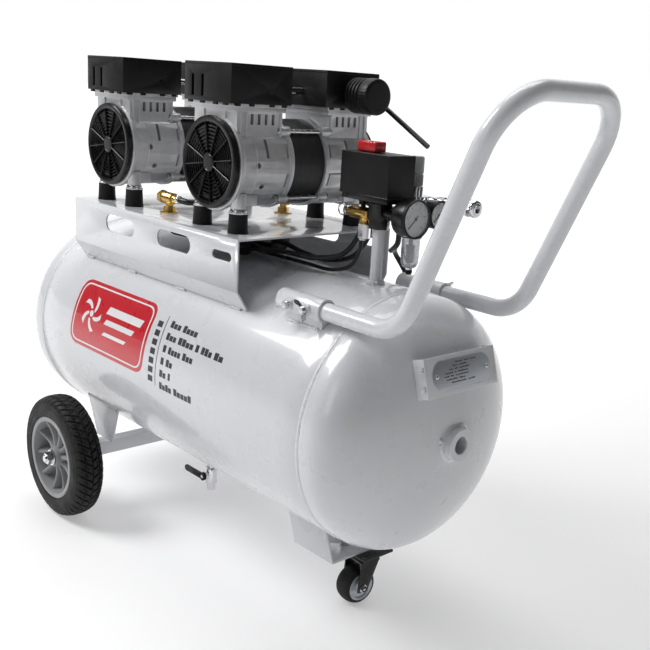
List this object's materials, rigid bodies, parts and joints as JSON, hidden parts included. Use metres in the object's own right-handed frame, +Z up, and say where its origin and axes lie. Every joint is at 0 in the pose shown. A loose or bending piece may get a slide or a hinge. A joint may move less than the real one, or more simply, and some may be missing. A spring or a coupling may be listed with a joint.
{
  "type": "air compressor",
  "caption": "Wheeled oil-free air compressor: horizontal tank on two fixed wheels and a castor, twin pump units on a folded platform, push handle.",
  "frame": {"origin": "on the floor, below the middle of the machine's bounding box without its mains lead", "axes": "+X along the tank to the push handle, -Y the side with the label, +Z up"},
  "size_m": [1.0749, 0.609, 0.7794],
  "materials": {
    "white_paint": "gloss white powder coat",
    "rating_plate": "satin etched plate",
    "cast_aluminium": "fine shot-blasted die casting",
    "black_cover": "fine-textured black moulding",
    "black_grille": "semi-gloss black moulding",
    "black_steel": "black enamel",
    "steel": "zinc plated",
    "chrome": "bright plate",
    "brass": "machined brass",
    "piston_alloy": "machined",
    "hose_rubber": "smooth black rubber",
    "plug_black": "moulded",
    "tyre": "treaded",
    "grey_rim": "moulded grey",
    "red_knob": "moulded red",
    "clear_bowl": "clear bowl",
    "needle_black": "black enamel"
  },
  "bodies": {
    "frame": {"tank_shell": "white_paint", "tank_heads": "white_paint", "rating_bracket": "white_paint", "rating_plate": "rating_plate", "standpipe": "white_paint", "drain_valve": "chrome", "pump_platform": "white_paint", "check_valves": "brass", "hoses_and_leads": "hose_rubber", "run_capacitors": "black_steel", "handle_sockets": "white_paint", "wing_bolts": "steel", "wheel_carrier": "white_paint", "axle_bolts": "steel", "front_foot": "white_paint", "castor_plate": "black_steel", "housing_front_a": "cast_aluminium", "housing_rear_a": "cast_aluminium", "housing_front_b": "cast_aluminium", "housing_rear_b": "cast_aluminium", "stators": "black_steel", "bearings": "steel", "valve_plates": "cast_aluminium", "head_covers": "black_cover", "transfer_tubes": "chrome", "air_filters": "black_cover", "fan_grilles": "black_grille", "tie_rods": "steel", "rubber_feet": "hose_rubber", "manifold": "black_steel", "switch_base": "black_cover", "switch_cover": "black_cover", "safety_valve": "brass", "gauge_bodies": "black_grille", "regulator_body": "chrome", "filter_bowl": "clear_bowl", "outlet_coupler": "chrome", "mains_lead": "hose_rubber", "mains_coil": "hose_rubber", "mains_plug": "plug_black"},
    "wheel_left": {"tyre_left": "tyre", "rim_left": "grey_rim"},
    "wheel_right": {"tyre_right": "tyre", "rim_right": "grey_rim"},
    "castor_swivel": {"castor_fork": "black_steel"},
    "castor_roller": {"castor_wheel": "tyre"},
    "push_handle": {"handle": "white_paint"},
    "drain_handle": {"drain_lever": "black_cover"},
    "rotor_unit_a": {"rotor_a": "steel", "fans_a": "black_cover"},
    "rotor_unit_b": {"rotor_b": "steel", "fans_b": "black_cover"},
    "piston_set_a": {"pistons_a": "piston_alloy"},
    "piston_set_b": {"pistons_b": "piston_alloy"},
    "red_knob": {"switch_knob": "red_knob"},
    "relief_ring": {"safety_ring": "steel"},
    "tank_gauge_needle": {"tank_needle": "needle_black"},
    "outlet_gauge_needle": {"outlet_needle": "needle_black"},
    "pressure_knob": {"regulator_knob": "grey_rim"},
    "release_sleeve": {"coupler_sleeve": "chrome"}
  },
  "joints": [
    {"name": "left_wheel_roll", "type": "hinge", "parent": "frame", "child": "wheel_left", "pos_m": [-0.277, -0.222, 0.106], "axis": [0, 1, 0], "continuous": true},
    {"name": "right_wheel_roll", "type": "hinge", "parent": "frame", "child": "wheel_right", "pos_m": [-0.277, 0.222, 0.106], "axis": [0, 1, 0], "continuous": true},
    {"name": "castor_turn", "type": "hinge", "parent": "frame", "child": "castor_swivel", "pos_m": [0.252, 0, 0.075], "axis": [0, 0, 1], "continuous": true},
    {"name": "castor_roll", "type": "hinge", "parent": "castor_swivel", "child": "castor_roller", "pos_m": [0.25069, -0.01494, 0.029], "axis": [0.9962, -0.0872, 0], "continuous": true},
    {"name": "handle_pull", "type": "slide", "parent": "frame", "child": "push_handle", "axis": [1, 0, 0], "range_m": [0, 0.06]},
    {"name": "drain_turn", "type": "hinge", "parent": "frame", "child": "drain_handle", "pos_m": [-0.15, -0.019, 0.06], "axis": [0, 1, 0], "range_deg": [0, 90]},
    {"name": "motor_spin_a", "type": "hinge", "parent": "frame", "child": "rotor_unit_a", "pos_m": [-0.2765, 0, 0.6375], "axis": [0, 1, 0], "continuous": true},
    {"name": "motor_spin_b", "type": "hinge", "parent": "frame", "child": "rotor_unit_b", "pos_m": [0.0125, 0, 0.6375], "axis": [0, 1, 0], "continuous": true},
    {"name": "piston_stroke_a", "type": "slide", "parent": "frame", "child": "piston_set_a", "axis": [0, 0, 1], "range_m": [-0.005, 0.005]},
    {"name": "piston_stroke_b", "type": "slide", "parent": "frame", "child": "piston_set_b", "axis": [0, 0, 1], "range_m": [-0.005, 0.005]},
    {"name": "switch_pull", "type": "slide", "parent": "frame", "child": "red_knob", "axis": [0, 0, 1], "range_m": [0, 0.006]},
    {"name": "relief_pull", "type": "slide", "parent": "frame", "child": "relief_ring", "axis": [-1, 0, 0], "range_m": [0, 0.004], "stiffness_N_per_m": 1500, "springref_m": -0.001},
    {"name": "tank_pressure", "type": "hinge", "parent": "frame", "child": "tank_gauge_needle", "pos_m": [0.3, 0, 0.59], "axis": [1, 0, 0], "range_deg": [-270, 0], "stiffness_Nm_per_rad": 0.00005},
    {"name": "outlet_pressure", "type": "hinge", "parent": "frame", "child": "outlet_gauge_needle", "pos_m": [0.288, 0.06, 0.591], "axis": [1, 0, 0], "range_deg": [-270, 0], "stiffness_Nm_per_rad": 0.00005},
    {"name": "regulator_turn", "type": "hinge", "parent": "frame", "child": "pressure_knob", "pos_m": [0.24, 0.06, 0.64], "axis": [0, 0, 1], "range_deg": [-720, 720]},
    {"name": "coupler_release", "type": "slide", "parent": "frame", "child": "release_sleeve", "axis": [-1, 0, 0], "range_m": [0, 0.003], "stiffness_N_per_m": 1200, "springref_m": -0.001}
  ]
}
